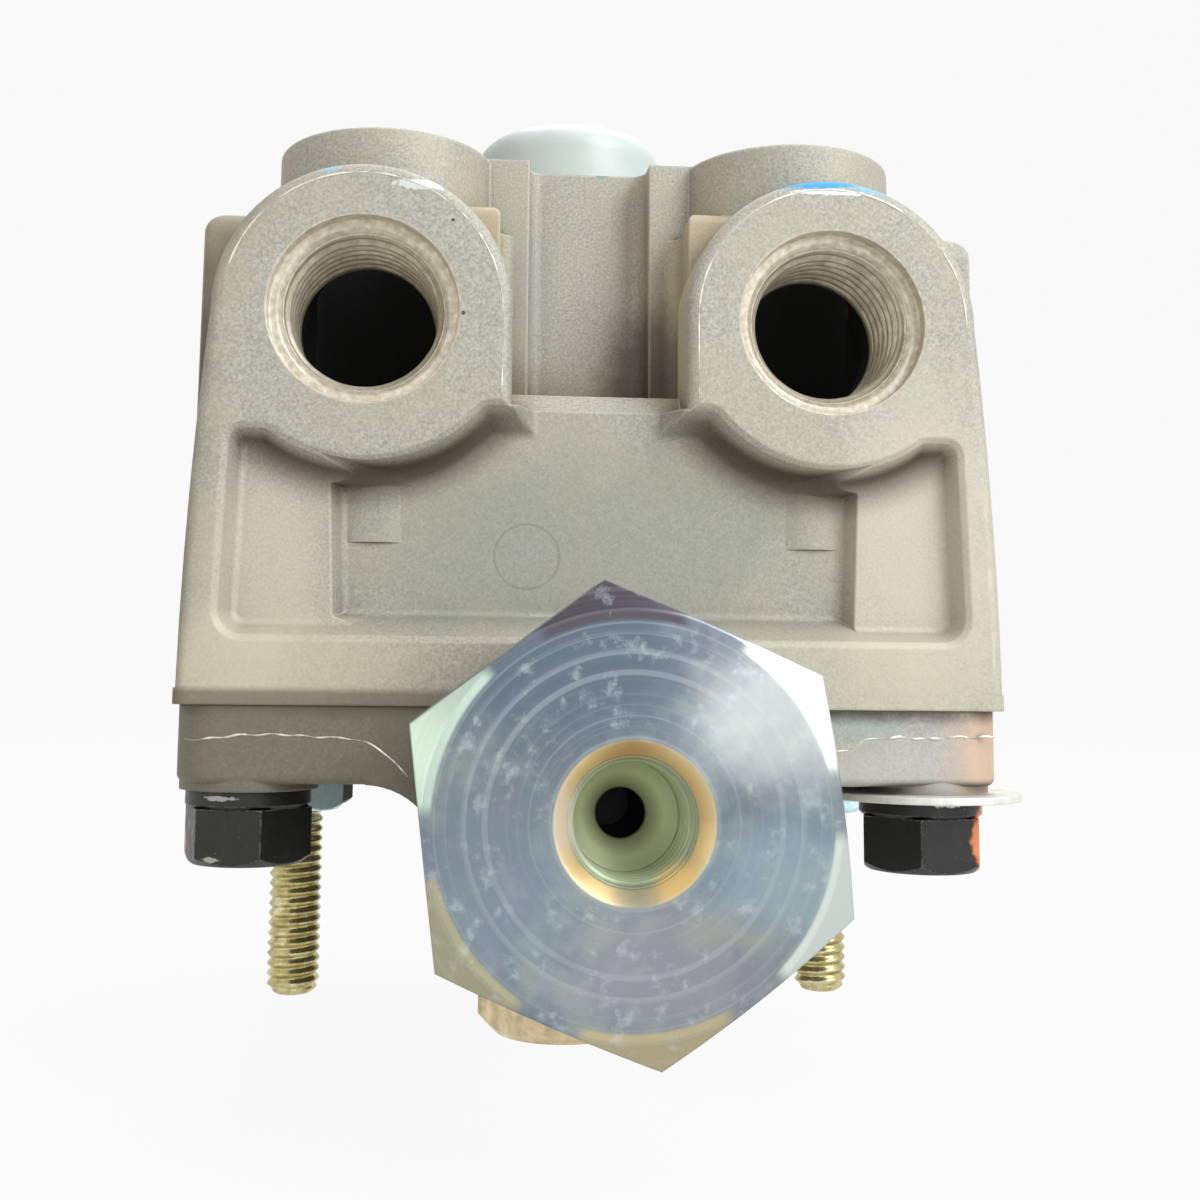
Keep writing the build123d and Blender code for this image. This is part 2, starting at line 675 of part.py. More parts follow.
def valve_retainer():
    """The plug that guides the stem and carries the exhaust seat."""
    outer = retainer_bore_r - 0.05
    groove = retainer_seal_wire * 0.85
    seal_z = seal_middle_z
    body = turned([(stem_r + slide_gap, retainer_floor_z), (outer - 0.6, retainer_floor_z),
                   (outer, retainer_floor_z + 0.6), (outer, seal_z - groove * 0.65),
                   (outer - groove, seal_z - groove * 0.65), (outer - groove, seal_z + groove * 0.65),
                   (outer, seal_z + groove * 0.65), (outer, retainer_top_z),
                   (exhaust_seat_r + 2.4, retainer_top_z), (exhaust_seat_r + 0.4, retainer_top_z + 1.2),
                   (exhaust_seat_r, exhaust_seat_top_z), (exhaust_bore_r, exhaust_seat_top_z),
                   (exhaust_bore_r, stem_top_z + 2), (stem_r + slide_gap, stem_top_z + 1)])
    stem_groove = stem_seal_wire * 0.85
    body -= ring(stem_r + slide_gap + stem_groove, stem_r - 1,
                 seal_middle_z - stem_groove * 0.65, seal_middle_z + stem_groove * 0.65)
    return body


def retainer_seal():
    """The seal ring round the retainer."""
    groove = retainer_seal_wire * 0.85
    return o_ring(retainer_bore_r - 0.05 - groove / 2, groove, seal_middle_z)


def stem_seal():
    """The seal ring that the stem slides in."""
    groove = stem_seal_wire * 0.85
    return o_ring(stem_r + slide_gap + groove / 2, groove, seal_middle_z)


def retaining_ring():
    """The open spring ring that holds the retainer and the cap in."""
    outer = retainer_bore_r + snap_ring_depth - 0.15
    wire = ring(outer, outer - snap_ring_width, snap_ring_low, snap_ring_high)
    middle = (snap_ring_low + snap_ring_high) / 2
    wire -= Pos(0, outer, middle) * Box(snap_gap, 3 * snap_ring_width, 3 * snap_ring_thick)
    ear_y = outer - snap_ring_width - 0.4
    for side in sides:
        wire += upright(snap_ear_r, snap_ring_low, snap_ring_high, side * snap_ear_x, ear_y)
        wire -= upright(snap_hole_r, snap_ring_low - 1, snap_ring_high + 1, side * snap_ear_x, ear_y)
    return wire


def exhaust_cover():
    """The moulded cap over the exhaust, with outlet windows at its foot."""
    inner = cap_r - cap_wall
    low = retainer_top_z
    base = low + cap_flange_thick
    shell = upright(cap_r, low, cap_top_z)
    shell = fillet(shell.edges().group_by(Axis.Z)[-1], cap_edge_r)
    hollow = upright(inner, low - 1, cap_top_z - cap_wall)
    hollow = fillet(hollow.edges().group_by(Axis.Z)[-1], cap_edge_r - cap_wall)
    cap = shell + ring(retainer_bore_r - 0.1, inner, low, base) - hollow
    for index in range(cap_window_count):
        window = Rot(0, 0, (index + 0.5) * 360 / cap_window_count) * Pos(
            cap_r - cap_wall / 2, 0, cap_window_z + cap_window_height / 2) * Box(
            3 * cap_wall, cap_window_width, cap_window_height)
        cap -= window
    post = upright(post_r, exhaust_seat_top_z + diaphragm_thick, cap_top_z - cap_wall / 2)
    return cap + post


def exhaust_diaphragm():
    """The rubber flap that rests on the exhaust seat."""
    low = exhaust_seat_top_z
    return turned([(0, low), (diaphragm_r, low), (diaphragm_r, low + diaphragm_thick * 0.7),
                   (post_r + 2, low + diaphragm_thick), (0, low + diaphragm_thick)])


def cover_seal():
    """The ring between the cover and the body."""
    height = joint_z - seal_floor_z
    return o_ring(seal_groove_r, height, joint_z - height / 2)


parts = {
    "valve_body": valve_body(),
    "cover": cover(),
    "cover_seal": cover_seal(),
    "cover_screws": Compound([cover_screw(x, y) for x, y in screw_places]),
    "lock_washers": Compound([lock_washer(x, y) for x, y in screw_places]),
    "id_tag": id_tag(),
    "mounting_studs": Compound([mounting_stud(side) for side in sides]),
    "stud_nuts": Compound([stud_nut(side) for side in sides]),
    "control_fitting": control_fitting(),
    "fitting_seal": fitting_seal(),
    "check_disc": check_disc(),
    "balance_plug": balance_plug(),
    "relay_piston": relay_piston(),
    "piston_ring": piston_ring(),
    "valve_guide": valve_guide(),
    "valve_face": valve_face(),
    "valve_spring": valve_spring(),
    "spring_seat": spring_seat(),
    "valve_retainer": valve_retainer(),
    "retainer_seal": retainer_seal(),
    "stem_seal": stem_seal(),
    "retaining_ring": retaining_ring(),
    "exhaust_cover": exhaust_cover(),
    "exhaust_diaphragm": exhaust_diaphragm(),
}

os.makedirs("parts", exist_ok=True)
for name, shape in parts.items():
    export_step(shape, f"parts/{name}.step")
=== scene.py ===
"""Looks of an air brake relay valve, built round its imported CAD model.

The casting, the cover and the turned parts keep their CAD shapes and get
procedural finishes here. Threads, casting flash and other trim are new meshes.
"""

import math

import bmesh
import bpy
import numpy as np
from mathutils import Matrix, Vector


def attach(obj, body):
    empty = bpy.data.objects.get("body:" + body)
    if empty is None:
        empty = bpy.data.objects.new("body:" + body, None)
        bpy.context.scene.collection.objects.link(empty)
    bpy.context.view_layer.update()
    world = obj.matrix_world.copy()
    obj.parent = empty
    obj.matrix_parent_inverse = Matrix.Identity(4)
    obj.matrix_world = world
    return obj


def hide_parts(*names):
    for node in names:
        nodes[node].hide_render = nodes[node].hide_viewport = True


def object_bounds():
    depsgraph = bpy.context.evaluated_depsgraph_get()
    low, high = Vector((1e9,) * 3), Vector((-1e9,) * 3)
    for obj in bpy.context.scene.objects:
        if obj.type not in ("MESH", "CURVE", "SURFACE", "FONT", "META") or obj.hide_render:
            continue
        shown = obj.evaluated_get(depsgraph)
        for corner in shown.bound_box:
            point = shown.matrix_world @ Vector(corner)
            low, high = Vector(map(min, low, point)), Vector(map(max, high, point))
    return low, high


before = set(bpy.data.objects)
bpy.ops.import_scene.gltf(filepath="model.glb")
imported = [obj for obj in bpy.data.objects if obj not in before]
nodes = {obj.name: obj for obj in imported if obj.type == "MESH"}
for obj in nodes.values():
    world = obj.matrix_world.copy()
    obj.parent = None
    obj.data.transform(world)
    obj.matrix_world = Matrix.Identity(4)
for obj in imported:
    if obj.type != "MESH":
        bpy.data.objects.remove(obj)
cad_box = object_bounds()

MM = 0.001

# Camera, matched to the edges of the object in the photograph
camera_place = (-19.6 * MM, -226.5 * MM, 12.9 * MM)
camera_yaw = 4.45          # degrees towards +X
camera_pitch = 6.2         # degrees upwards
camera_roll = 0.6
camera_lens = 42.45        # mm on a 36 mm sensor
image_side = 1200
optical_centre = (552, 526)  # pixels from the frame's top left corner

# Places on the casting, in mm, as the CAD has them
front_y = -52.0
panel_y = -46.6
port_x = 30.0
port_z = 59.0
top_port_x = 28.2
top_port_y = -31.7
top_z = 84.9
supply_z = 58.0
supply_mouth_y = 56.0
cover_front_y = -51.7
nose_z = -1.2
stud_x = 41.275
boss_flat_r = 17.5           # flat front of the bosses, inside their rounded edge
boss_foot_z = 48.0           # where their straight inner edges end
lip_top_z = 11.5             # the lip round the body's foot
counterbore_r = 12.0
chamber_r = 9.8              # the chambers behind the threads, painted dark as shade, with a little over
supply_seat_r = 15.0         # the machined face round the supply port
pin_place = (-8.8, 0, 28.5)  # the mark of an ejector pin on the panel
pin_r = 4.3
thread_setback = 2.4         # from a port's face to its first thread
deep_y = -37.5               # where the front threads end
top_thread_depth = 12.0      # from a top port's mouth to the end of its thread

# Threads, in mm
pipe_pitch = 1.814           # 14 to the inch
quarter_inch_pitch = 1.411   # 18 to the inch
half_inch = (9.4, 10.3)      # crest and root radii of the ports' threads
three_quarter_inch = (11.35, 12.3)
quarter_inch = (5.95, 6.6)
stud_pitch = 1.5
stud_r = 3.97
stud_thread_depth = 0.48
stud_low, stud_high = -35.3, 6.8
points_a_pitch = 14          # rows of points for each turn of a thread

front_thread_length = 12.0
top_thread_length = 9.5
supply_thread_length = 16.4
control_thread_length = 6.9
control_thread_y = -83.4     # where the thread in the hex fitting starts

# The control fitting, in mm from its axis
chamfer_circle_r = 20.0      # where the turned face ends and the hex corners start
corner_r = 22.5              # a place in the middle of a chamfered corner
port_mouth_r = 8.0           # the port with its countersink

# Finishes, in mm
grain_mm = 0.36              # blasted skin, drawn about twice as coarse as real so that it shows
casting_edge_mm = 0.5        # how sharp an edge has to be to wear pale, on the castings
part_edge_mm = 0.3           # and on the small parts
dirt_and_shade_reach_mm = 9.0          # how far from a corner grime and painted shade reach

# Light
room_strength = 0.3          # of the white world on surfaces; the camera sees it at 1
floor_white = 0.93           # share of plain white that the camera sees on the paper


# Marks: centre and reach in mm, how torn the edge is, and the colour
body_marks = (
    ((28.0, -50.9, 77.2), (6.5, 1.4, 1.0), 0.8, "#4aa8e0"),        # marking paint on the right boss
    ((35.6, -50.9, 76.6), (3.6, 1.3, 0.9), 1.6, "#8fbdd2"),
    ((-34.4, -50.8, 76.5), (2.4, 1.1, 0.9), 1.4, "#9cc4d0"),       # thin paint on the left boss
    ((-23.0, -51.9, 75.2), (3.4, 1.0, 0.7), 1.8, "#dfe0dc"),       # rubbed edges
    ((29.0, -51.9, 76.1), (5.5, 0.7, 0.3), 2.4, "#eef1f2"),
    ((-19.0, -52.0, 70.7), (0.22, 0.5, 0.22), 0.6, "#4b4a46"),     # dark specks on the left boss
    ((-17.5, -52.0, 58.7), (0.26, 0.5, 0.26), 0.6, "#5a574f"),
    ((2.3, -31.0, 85.0), (0.9, 0.8, 0.4), 1.8, "#86b39c"),
    ((40.2, -50.6, 61.5), (0.8, 1.4, 1.6), 2.2, "#55505a"),        # marker ink in the right counterbore
    ((40.9, -50.6, 57.0), (0.6, 1.4, 2.4), 2.4, "#5a5560"),
    ((39.2, -50.6, 53.6), (0.9, 1.4, 1.5), 2.0, "#4d4858"),
    ((35.6, -50.6, 50.0), (3.4, 1.4, 0.9), 1.2, "#4a4166"),
    ((-27.4, -50.4, 48.3), (2.4, 1.2, 0.5), 2.0, "#57505c"),       # and a little in the left one
    ((-18.6, -50.4, 58.0), (0.5, 1.2, 1.8), 2.4, "#6a6672"),
)
cover_marks = (
    ((-51.7, -51.2, 5.4), (1.1, 1.6, 1.3), 0.8, "#e9824a"),
)
screw_marks = (
    ((50.6, -46.5, -6.9), (3.6, 5.0, 4.4), 0.3, "#f0905a"),        # torque paint on the heads' outer sides
    ((-51.9, -43.5, -8.2), (1.0, 4.0, 3.2), 0.5, "#e98a55"),
    ((-46.8, -49.8, -9.2), (1.2, 1.4, 0.3), 2.4, "#b4b3ab"),       # scraped corners
    ((-46.0, -50.5, -1.8), (2.2, 1.4, 0.3), 2.4, "#c2c2bc"),
    ((44.5, -50.5, -2.0), (3.0, 1.4, 0.5), 2.6, "#e4e5e5"),
)

# Broad patches of stain and of painted light and shade: centre and reach in mm, the share at the middle, and
# the colour
body_stains_and_painted_light = (
    ((0.0, -46.6, 28.0), (42.0, 4.0, 24.0), 0.6, "#9a9c90"),       # the panel, cooler and darker
    ((-54.0, -30.0, 45.0), (10.0, 40.0, 50.0), 0.75, "#8c8672"),   # painted shade on the left side and shoulder
    ((-47.0, -40.0, 74.0), (9.0, 22.0, 12.0), 0.75, "#928a72"),
    ((-14.0, -42.0, 62.0), (8.0, 9.0, 24.0), 0.6, "#d3bb96"),      # warm film beside the valley
    ((14.0, -42.0, 62.0), (8.0, 9.0, 24.0), 0.6, "#cdb893"),
    ((-33.0, -30.0, 84.0), (22.0, 12.0, 10.0), 0.45, "#cfb898"),
    ((42.0, -51.0, 30.0), (16.0, 9.0, 26.0), 0.6, "#dcd5c3"),      # painted light on the right frame
    ((-40.0, -51.0, 14.0), (22.0, 9.0, 9.0), 0.6, "#d6cdb0"),      # painted light, warm, on the foot of the frame
    ((30.0, -51.0, 14.0), (30.0, 9.0, 9.0), 0.5, "#d6cfb8"),
    ((-52.5, -40.0, 45.0), (2.6, 30.0, 60.0), 0.8, "#6f6857"),     # painted shade on the left edge
    ((-42.0, -49.0, 26.0), (10.0, 8.0, 18.0), 0.5, "#ddd2c0"),     # painted light in the left pocket
    ((9.0, -33.0, 56.0), (8.0, 9.0, 11.0), 0.75, "#58554a"),       # painted shadow in the valley, cast by the right boss
    ((-9.0, -32.0, 66.0), (5.0, 8.0, 14.0), 0.5, "#a9aba6"),
)
# Flat floor beside the panel's coves, where the smoothed normals lean: centre and reach in mm
plain_spots = (((-28, panel_y, 33), (6, 0.3, 9)), ((28, panel_y, 33), (6, 0.3, 9)))
cover_stains_and_painted_light = (
    ((40.0, -50.0, -1.0), (26.0, 9.0, 12.0), 0.6, "#cfcdc7"),      # paler on the right, painted light
    ((51.0, -50.0, 3.0), (8.0, 12.0, 12.0), 0.7, "#dfbb9c"),       # rust-coloured film at its end
    ((31.0, -51.0, 7.4), (9.0, 6.0, 1.8), 0.5, "#a3b9b4"),
    ((0.0, -50.0, 9.9), (75.0, 20.0, 2.6), 0.95, "#3b3628"),       # painted shadow below the lip
)
# Films on the fitting's turned face, with a painted highlight among them
fitting_films_and_highlight = (
    ((-7.0, -84.0, 15.0), (18.0, 30.0, 12.0), 0.9, "#5d6a79"),     # blue-grey upper left
    ((15.0, -84.0, 9.0), (12.0, 30.0, 9.0), 0.4, "#dfe5de"),       # painted highlight on the upper right
    ((15.0, -84.0, -6.0), (12.0, 30.0, 8.0), 0.6, "#93a8b6"),
    ((-14.0, -84.0, -7.0), (12.0, 30.0, 12.0), 0.5, "#7f8c9a"),
    ((4.0, -84.0, -16.0), (14.0, 30.0, 9.0), 0.6, "#98989c"),
)
mouth_films = (
    ((0.0, -83.0, 8.0), (7.0, 4.0, 4.0), 0.8, "#b08748"),          # thick yellow film on the countersink
    ((-7.5, -83.0, -1.0), (3.0, 4.0, 5.0), 0.7, "#e9dccb"),
    ((5.0, -83.0, -7.5), (3.0, 4.0, 3.0), 0.8, "#f3cd84"),
    ((0.0, -83.0, -9.5), (3.5, 4.0, 2.6), 0.8, "#8f9484"),
)
corner_painted_reflections = (             # the chamfered corners, painted with the reflections and highlights they show: degrees from +X towards +Z, and the colour
    (96, "#57525a"), (36, "#eef4ec"), (-24, "#cdd6d0"), (-84, "#b0a686"), (-144, "#a39f84"), (156, "#b9ccbe"))


def linear(colour):
    """An sRGB hex colour as linear red, green, blue and alpha."""
    channels = [int(colour[i:i + 2], 16) / 255 for i in (1, 3, 5)]
    return [c / 12.92 if c <= 0.04045 else ((c + 0.055) / 1.055) ** 2.4 for c in channels] + [1.0]


def per(size_mm):
    """The texture scale that makes a pattern's features about this many mm wide."""
    return 1 / (size_mm * MM)


def add(tree, kind, settings=None, inputs=None):
    """Adds one node. Settings are its attributes; an input is a constant or another node's socket."""
    made = tree.nodes.new(kind)
    for name, value in (settings or {}).items():
        setattr(made, name, value)
    for name, value in (inputs or {}).items():
        if isinstance(value, bpy.types.NodeSocket):
            tree.links.new(value, made.inputs[name])
        else:
            made.inputs[name].default_value = value
    return made


def ramp(tree, factor, stops):
    """A colour ramp over a factor, from (place, hex colour) pairs."""
    made = add(tree, "ShaderNodeValToRGB", None, {"Fac": factor})
    elements = made.color_ramp.elements
    while len(elements) < len(stops):
        elements.new(0.5)
    for element, (place, colour) in zip(elements, stops):
        element.position = place
        element.color = linear(colour)
    return made.outputs["Color"]


def blended(tree, factor, first, second):
    """Two colours mixed by a factor. A colour is a hex text or a socket."""
    values = [linear(c) if isinstance(c, str) else c for c in (first, second)]
    made = add(tree, "ShaderNodeMix", {"data_type": "RGBA"}, {0: factor, 6: values[0], 7: values[1]})
    return made.outputs[2]


def graded(tree, value, low, high, to_low=0.0, to_high=1.0):
    """A value taken from one span to another with smooth ends."""
    made = add(tree, "ShaderNodeMapRange", {"interpolation_type": "SMOOTHSTEP"},
               {"Value": value, "From Min": low, "From Max": high, "To Min": to_low, "To Max": to_high})
    return made.outputs["Result"]


def combined(tree, operation, *values):
    """One scalar sum, product or the like of sockets and numbers."""
    made = add(tree, "ShaderNodeMath", {"operation": operation}, dict(enumerate(values)))
    return made.outputs[0]


def started(name):
    """A new material, its shader and the object coordinates in metres."""
    material = bpy.data.materials.new(name)
    material.use_nodes = True
    tree = material.node_tree
    shader = tree.nodes["Principled BSDF"]
    place = add(tree, "ShaderNodeTexCoord").outputs["Object"]
    return material, tree, shader, place


def edge_worn(tree, radius_mm):
    """1 on edges sharper than this radius and 0 on flats, from the normal bent towards its surroundings."""
    bent = add(tree, "ShaderNodeBevel", {"samples": 6}, {"Radius": radius_mm * MM}).outputs["Normal"]
    smooth_normal = add(tree, "ShaderNodeNewGeometry").outputs["Normal"]
    match = add(tree, "ShaderNodeVectorMath", {"operation": "DOT_PRODUCT"}, {0: bent, 1: smooth_normal})
    return graded(tree, match.outputs["Value"], 0.995, 0.86), bent


def crevice_dirt_and_shade(tree, distance_mm):
    """1 in tight corners, where grime stays and shade is painted, 0 on open faces."""
    shade = add(tree, "ShaderNodeAmbientOcclusion", {"samples": 6}, {"Distance": distance_mm * MM})
    return graded(tree, shade.outputs["AO"], 0.85, 0.25)


def speckle(tree, place, size_mm, roughness=0.65):
    """Noise from 0 to 1 whose features are about this many mm wide, with finer noise on them."""
    return add(tree, "ShaderNodeTexNoise", None,
               {"Vector": place, "Scale": per(size_mm), "Detail": 4.0, "Roughness": roughness}).outputs["Fac"]


def ragged_noise(tree, place, size_mm):
    """Noise from about -0.5 to 0.5 that tears the edges of marks, its flecks of one size."""
    return combined(tree, "SUBTRACT", speckle(tree, place, size_mm, 0.7), 0.5)


def patch_span(tree, place, centre, reach):
    """0 at an ellipsoid's centre and 1 on its skin: its centre and half-axes in mm."""
    away = add(tree, "ShaderNodeVectorMath", {"operation": "SUBTRACT"},
               {0: place, 1: [c * MM for c in centre]}).outputs[0]
    unit = add(tree, "ShaderNodeVectorMath", {"operation": "DIVIDE"},
               {0: away, 1: [r * MM for r in reach]}).outputs[0]
    return add(tree, "ShaderNodeVectorMath", {"operation": "LENGTH"}, {0: unit}).outputs["Value"]


def in_patch(tree, place, ragged, centre, reach, torn):
    """1 inside an ellipsoid and 0 outside, its edge torn by the ragged noise."""
    tear = combined(tree, "MULTIPLY", ragged, torn)
    return graded(tree, combined(tree, "ADD", patch_span(tree, place, centre, reach), tear), 1.08, 0.88)


def from_axis(tree, place, centre, along):
    """The vector from an axis through a centre in mm, and its length; along is 1 for Y and 2 for Z."""
    across = [0.0 if k == along else 1.0 for k in range(3)]
    away = add(tree, "ShaderNodeVectorMath", {"operation": "SUBTRACT"},
               {0: place, 1: [c * MM for c in centre]}).outputs[0]
    flat = add(tree, "ShaderNodeVectorMath", {"operation": "MULTIPLY"}, {0: away, 1: across}).outputs[0]
    return flat, add(tree, "ShaderNodeVectorMath", {"operation": "LENGTH"}, {0: flat}).outputs["Value"]


def in_bore(tree, place, centre, along, radius, low, high):
    """1 within a radius of an axis and between two places along it, in mm; along is 1 for Y and 2 for Z."""
    _, span = from_axis(tree, place, centre, along)
    reach = add(tree, "ShaderNodeSeparateXYZ", None, {"Vector": place}).outputs[along]
    near = graded(tree, span, (radius + 0.1) * MM, (radius - 0.1) * MM)
    above = graded(tree, reach, (low - 0.1) * MM, (low + 0.1) * MM)
    below = graded(tree, reach, (high + 0.1) * MM, (high - 0.1) * MM)
    return combined(tree, "MULTIPLY", near, combined(tree, "MULTIPLY", above, below))


def marked(tree, place, tone, marks):
    """A tone with paint marks and scuffs on it, from (centre, reach, torn, colour) of each."""
    ragged = ragged_noise(tree, place, 0.9)
    for centre, reach, torn, colour in marks:
        tone = blended(tree, in_patch(tree, place, ragged, centre, reach, torn), tone, colour)
    return tone


def stained_and_painted_light(tree, place, tone, stains_and_painted_light):
    """A tone with soft broad patches of stain and of painted light and shade on it, from (centre, reach,
    share, colour) of each.
    """
    cloud = combined(tree, "MULTIPLY", ragged_noise(tree, place, 7.0), 0.8)
    for centre, reach, share, colour in stains_and_painted_light:
        spread = patch_span(tree, place, centre, reach)
        spread = combined(tree, "ADD", spread, cloud)
        tone = blended(tree, graded(tree, spread, 1.1, 0.35, 0.0, share), tone, colour)
    return tone


def cast_skin(tree, place, stops, cloud_colour, cloud_share, stains_and_painted_light, dirt_and_shade, worn_colour, plain=()):
    """The tone, grain, clouds and bent normal of a blasted casting, with patches of stain and of painted
    light and shade, grime and painted shade in its corners, and pale edges.

    In the plain spots the true normal stands in for the bent one, and no edge is worn.
    """
    grain = speckle(tree, place, grain_mm)
    cloud = speckle(tree, place, 12, 0.6)
    tone = ramp(tree, grain, stops)
    tone = blended(tree, graded(tree, cloud, 0.42, 0.62, 0.0, cloud_share), tone, cloud_colour)
    worn, bent = edge_worn(tree, casting_edge_mm)
    true_normal = add(tree, "ShaderNodeNewGeometry").outputs["True Normal"]
    for centre, reach in plain:
        spot = in_patch(tree, place, 0.0, centre, reach, 0.0)
        bent = blended(tree, spot, bent, true_normal)
        worn = combined(tree, "MULTIPLY", worn, combined(tree, "SUBTRACT", 1.0, spot))
    tone = stained_and_painted_light(tree, place, tone, stains_and_painted_light)
    # Grime and painted shade in the corners
    tone = blended(tree, combined(tree, "MULTIPLY", crevice_dirt_and_shade(tree, dirt_and_shade_reach_mm), 0.85), tone, dirt_and_shade)
    tone = blended(tree, combined(tree, "MULTIPLY", worn, 0.5), tone, worn_colour)
    return tone, grain, cloud, bent


def under_bosses(tree, place):
    """How much grime and painted shade lies round the front bosses' lower rims, most against their walls."""
    shade = 0.0
    reach = add(tree, "ShaderNodeSeparateXYZ", None, {"Vector": place})
    behind = combined(tree, "MULTIPLY", graded(tree, reach.outputs[1], -51.4 * MM, -49.0 * MM),
                      graded(tree, reach.outputs[1], -44.5 * MM, -46.0 * MM))
    inward = graded(tree, combined(tree, "ABSOLUTE", reach.outputs[0]), 49.5 * MM, 47.5 * MM)
    below = combined(tree, "MULTIPLY", inward, graded(tree, reach.outputs[2], 52 * MM, 43 * MM))
    for side in (-1, 1):
        _, span = from_axis(tree, place, (side * port_x, 0, port_z), 1)
        shade = combined(tree, "MAXIMUM", shade, graded(tree, span, 26.0 * MM, 20.0 * MM, 0.0, 0.9))
    return combined(tree, "MULTIPLY", shade, combined(tree, "MULTIPLY", behind, below))


def painted_shade_leftward(tree, place, cloud):
    """How much painted shade darkens a casting: 0.75 at its left end, fading in clouds past the middle."""
    across = add(tree, "ShaderNodeSeparateXYZ", None, {"Vector": place}).outputs[0]
    return graded(tree, combined(tree, "ADD", across, combined(tree, "MULTIPLY", cloud, 30 * MM)),
                  35 * MM, 0.0, 0.0, 0.75)


def cast_aluminium():
    """Shot-blasted die-cast aluminium: a dull warm grey with sandy grain, bright seats, and its bores and
    chambers painted dark as shade.
    """
    material, tree, shader, place = started("shot_blasted_cast_aluminium")
    tone, grain, cloud, bent = cast_skin(
        tree, place, [(0.30, "#9b988b"), (0.5, "#b4b2a6"), (0.70, "#cbc9c0")], "#c2baa0", 0.3, body_stains_and_painted_light,
        "#4d4434", "#f0ecdf", plain_spots)
    # Grime and painted shade round the bosses' lower rims
    tone = blended(tree, under_bosses(tree, place), tone, "#443a29")
    pin = combined(tree, "SUBTRACT", in_bore(tree, place, pin_place, 1, pin_r, panel_y - 1, panel_y + 1),
                   in_bore(tree, place, pin_place, 1, pin_r - 0.3, panel_y - 1, panel_y + 1))
    tone = blended(tree, combined(tree, "MULTIPLY", pin, 0.3), tone, "#6f6b60")
    height = add(tree, "ShaderNodeSeparateXYZ", None, {"Vector": place}).outputs[2]
    # Painted shade on the foot below the lip, darkest at the left end
    lip = combined(tree, "MULTIPLY", graded(tree, height, (lip_top_z + 0.5) * MM, (lip_top_z - 0.7) * MM),
                   painted_shade_leftward(tree, place, cloud))
    tone = blended(tree, lip, tone, "#6a6453")
    tone = marked(tree, place, tone, body_marks)
    turned = in_bore(tree, place, (0, 0, supply_z), 1, supply_seat_r, supply_mouth_y - 20, supply_mouth_y + 1)
    for side in (-1, 1):
        seat = in_bore(tree, place, (side * port_x, 0, port_z), 1, counterbore_r + 0.2, front_y - 1, deep_y)
        rim = in_bore(tree, place, (side * top_port_x, top_port_y, 0), 2, counterbore_r + 0.2,
                      top_z - top_thread_depth, top_z + 1)
        turned = combined(tree, "MAXIMUM", turned, combined(tree, "MAXIMUM", seat, rim))
    lines = add(tree, "ShaderNodeTexNoise", None,
                {"Vector": place, "Scale": per(0.9), "Detail": 2.0}).outputs["Fac"]
    seat_tone = ramp(tree, lines, [(0.35, "#c4bba8"), (0.6, "#ddd4c2"), (0.8, "#efe9da")])
    tone = blended(tree, turned, tone, seat_tone)
    # Painted shade: the chambers, the shafts and the inside of the body are painted near black
    painted_dark_inside = in_patch(tree, place, 0.0, (0, 0, 50), (25, 26, 24), 0.0)
    for side in (-1, 1):
        chamber = in_bore(tree, place, (side * port_x, 0, port_z), 1, chamber_r, deep_y, -20)
        shaft = in_bore(tree, place, (side * top_port_x, top_port_y, 0), 2, chamber_r, 29,
                        top_z - top_thread_depth)
        painted_dark_inside = combined(tree, "MAXIMUM", painted_dark_inside, combined(tree, "MAXIMUM", chamber, shaft))
    tone = blended(tree, painted_dark_inside, tone, "#0d0c0b")
    tree.links.new(tone, shader.inputs["Base Color"])
    rough = graded(tree, turned, 0.0, 1.0, 0.62, 0.34)
    tree.links.new(combined(tree, "MAXIMUM", rough, combined(tree, "MULTIPLY", painted_dark_inside, 0.9)),
                   shader.inputs["Roughness"])
    shader.inputs["Metallic"].default_value = 0.3
    relief = combined(tree, "ADD", grain, combined(tree, "MULTIPLY", cloud, 2.0))
    depth = graded(tree, turned, 0.0, 1.0, 0.05 * MM, 0.01 * MM)
    bump = add(tree, "ShaderNodeBump", None,
               {"Strength": 0.6, "Distance": depth, "Height": relief, "Normal": bent})
    tree.links.new(bump.outputs["Normal"], shader.inputs["Normal"])
    return material


def stained_cast_aluminium():
    """The cover's casting: the same grain, darkened by painted shade, most at its left end."""
    material, tree, shader, place = started("stained_cast_aluminium")
    tone, grain, cloud, bent = cast_skin(
        tree, place, [(0.32, "#8a877d"), (0.5, "#a5a298"), (0.68, "#bfbdb4")], "#8b8474", 0.45, cover_stains_and_painted_light,
        "#332d21", "#dcd8cc")
    # Painted shade, darkest at the left end
    tone = blended(tree, painted_shade_leftward(tree, place, cloud), tone, "#6d6856")
    tone = marked(tree, place, tone, cover_marks)
    tree.links.new(tone, shader.inputs["Base Color"])
    shader.inputs["Roughness"].default_value = 0.58
    shader.inputs["Metallic"].default_value = 0.3
    bump = add(tree, "ShaderNodeBump", None,
               {"Strength": 0.6, "Distance": 0.07 * MM, "Height": grain, "Normal": bent})
    tree.links.new(bump.outputs["Normal"], shader.inputs["Normal"])
    return material


